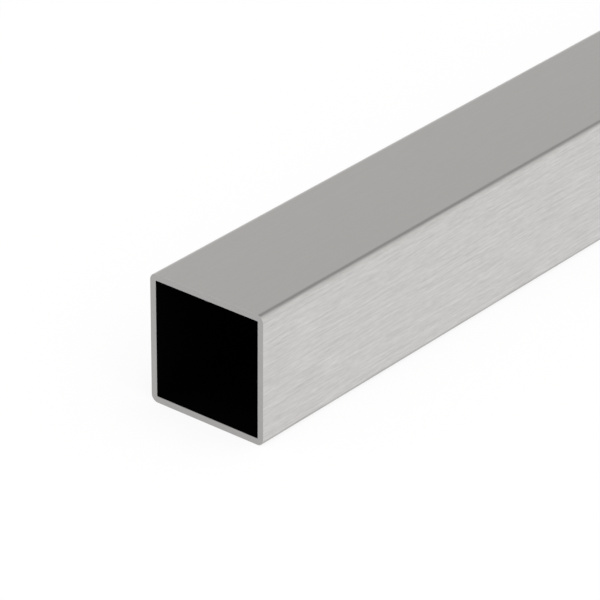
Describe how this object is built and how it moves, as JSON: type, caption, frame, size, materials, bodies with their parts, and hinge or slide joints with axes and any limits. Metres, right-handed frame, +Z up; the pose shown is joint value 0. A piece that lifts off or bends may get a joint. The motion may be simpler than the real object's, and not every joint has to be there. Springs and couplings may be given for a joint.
{
  "type": "square metal tube",
  "caption": "Length of square steel tube with brushed faces, small rounded corners, an even thin wall and two open square-cut ends, for frames, legs and rails.",
  "frame": {"origin": "middle of the underside, halfway along the tube", "axes": "+X along the tube, +Y across it, +Z up from the face it lies on towards the wall that holds the weld bead"},
  "size_m": [1, 0.04, 0.04],
  "materials": {
    "brushed_tube": "satin, fine brushed grain along the length, dark inside"
  },
  "bodies": {
    "root": {"square_tube": "brushed_tube"}
  },
  "joints": []
}
